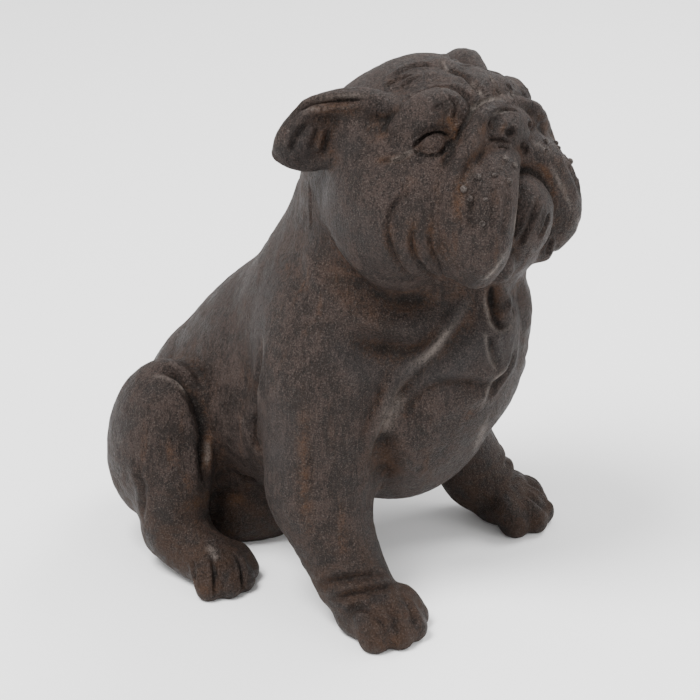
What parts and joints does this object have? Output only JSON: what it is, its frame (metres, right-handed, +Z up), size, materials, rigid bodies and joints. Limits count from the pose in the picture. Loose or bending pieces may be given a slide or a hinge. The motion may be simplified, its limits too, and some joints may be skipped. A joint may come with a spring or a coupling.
{
  "type": "bulldog figurine",
  "caption": "Seated bulldog garden figure with raised head, folded face and hanging lips, cast hollow in one piece; stands on its paws and rump.",
  "frame": {"origin": "middle of the underside, on the surface the figure stands on", "axes": "+Z up, the dog faces -Y, its own left side is +X"},
  "size_m": [0.289, 0.3834, 0.4298],
  "materials": {
    "patina": "matt dark brown patina on a cast mineral body"
  },
  "bodies": {
    "root": {"bulldog": "patina"}
  },
  "joints": []
}
